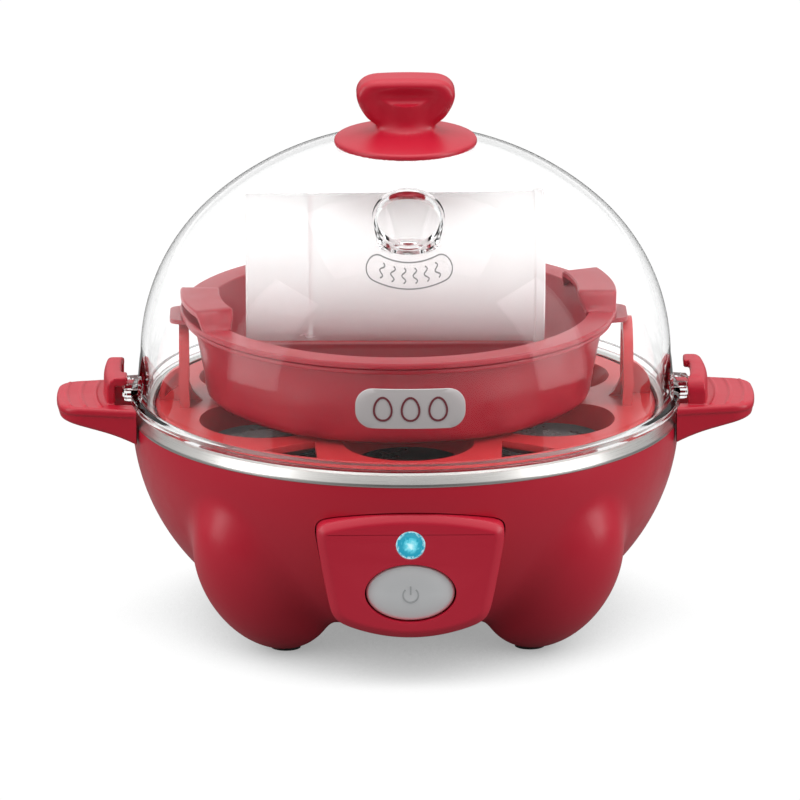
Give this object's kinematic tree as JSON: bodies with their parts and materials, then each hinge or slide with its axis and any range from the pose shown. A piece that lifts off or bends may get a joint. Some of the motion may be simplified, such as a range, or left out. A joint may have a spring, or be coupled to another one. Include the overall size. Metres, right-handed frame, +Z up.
{
  "type": "egg cooker",
  "caption": "Round electric egg cooker with bulging legs, a clear domed lid, stacked red trays, side handles and a front push button with a lamp.",
  "frame": {"origin": "centre of the surface that the four feet stand on, under the middle of the bowl", "axes": "+Z up, +X to the right-hand handle, -Y to the control panel"},
  "size_m": [0.188, 0.1491, 0.1501],
  "materials": {
    "red_body": "satin moulded",
    "red_knob": "satin moulded",
    "red_tray": "satin moulded",
    "red_dish": "satin moulded",
    "clear_lid": "clear polycarbonate",
    "frosted_cup": "frosted translucent",
    "brushed_steel_band": "brushed round the rim",
    "plated_steel": "zinc plated",
    "nonstick_plate": "dark non-stick coating",
    "element_sheath": "heat-darkened sheath",
    "bare_aluminium": "mill finish",
    "dark_rubber": "matt",
    "silicone": "matt translucent",
    "black_cover": "fine texture",
    "satin_button": "satin plated",
    "badge_grey": "satin printed metal",
    "lamp_lens": "tinted lens",
    "lamp_white": "clear diode",
    "circuit_board": "solder mask",
    "ivory_plastic": "moulded",
    "wire_sleeve": "glass sleeved wire"
  },
  "bodies": {
    "base": {"base_shell": "red_body", "bottom_cover": "black_cover", "foot_pads": "dark_rubber", "plate_studs": "plated_steel", "cover_screws": "plated_steel", "steel_rim_band": "brushed_steel_band", "heating_plate": "nonstick_plate", "plate_gasket": "silicone", "heating_element": "element_sheath", "element_terminals": "plated_steel", "thermostat": "bare_aluminium", "thermal_fuse": "bare_aluminium", "heat_shield": "bare_aluminium", "control_panel": "red_body", "led_lens": "lamp_lens", "led_lamp": "lamp_white", "led_board": "circuit_board", "button_spring": "plated_steel", "power_switch": "black_cover", "switch_bracket": "plated_steel", "cord_gland": "dark_rubber", "terminal_block": "ivory_plastic", "lead_wires": "wire_sleeve", "left_handle": "red_body", "right_handle": "red_body"},
    "button": {"power_button": "satin_button"},
    "egg_tray": {"egg_tray": "red_tray"},
    "omelette_bowl": {"omelette_bowl": "red_dish"},
    "poaching_tray": {"poaching_tray": "red_dish"},
    "measuring_cup": {"measuring_cup": "frosted_cup", "piercing_pin": "plated_steel"},
    "lid": {"lid_dome": "clear_lid", "lid_knob": "red_knob", "knob_washer": "silicone", "knob_screw": "plated_steel", "lid_badge": "badge_grey"}
  },
  "joints": [
    {"name": "button_press", "type": "slide", "parent": "base", "child": "button", "axis": [0, 1, 0], "range_m": [0, 0.0015], "stiffness_N_per_m": 600, "springref_m": -0.0004, "deforming": ["button_spring"]},
    {"name": "egg_tray_lift", "type": "slide", "parent": "base", "child": "egg_tray", "axis": [0, 0, 1], "range_m": [0, 0.05]},
    {"name": "omelette_bowl_lift", "type": "slide", "parent": "egg_tray", "child": "omelette_bowl", "axis": [0, 0, 1], "range_m": [0, 0.04]},
    {"name": "poaching_tray_lift", "type": "slide", "parent": "omelette_bowl", "child": "poaching_tray", "axis": [0, 0, 1], "range_m": [0, 0.04]},
    {"name": "measuring_cup_lift", "type": "slide", "parent": "poaching_tray", "child": "measuring_cup", "axis": [0, 0, 1], "range_m": [0, 0.05]},
    {"name": "lid_lift", "type": "slide", "parent": "measuring_cup", "child": "lid", "axis": [0, 0, 1], "range_m": [0, 0.1]}
  ]
}
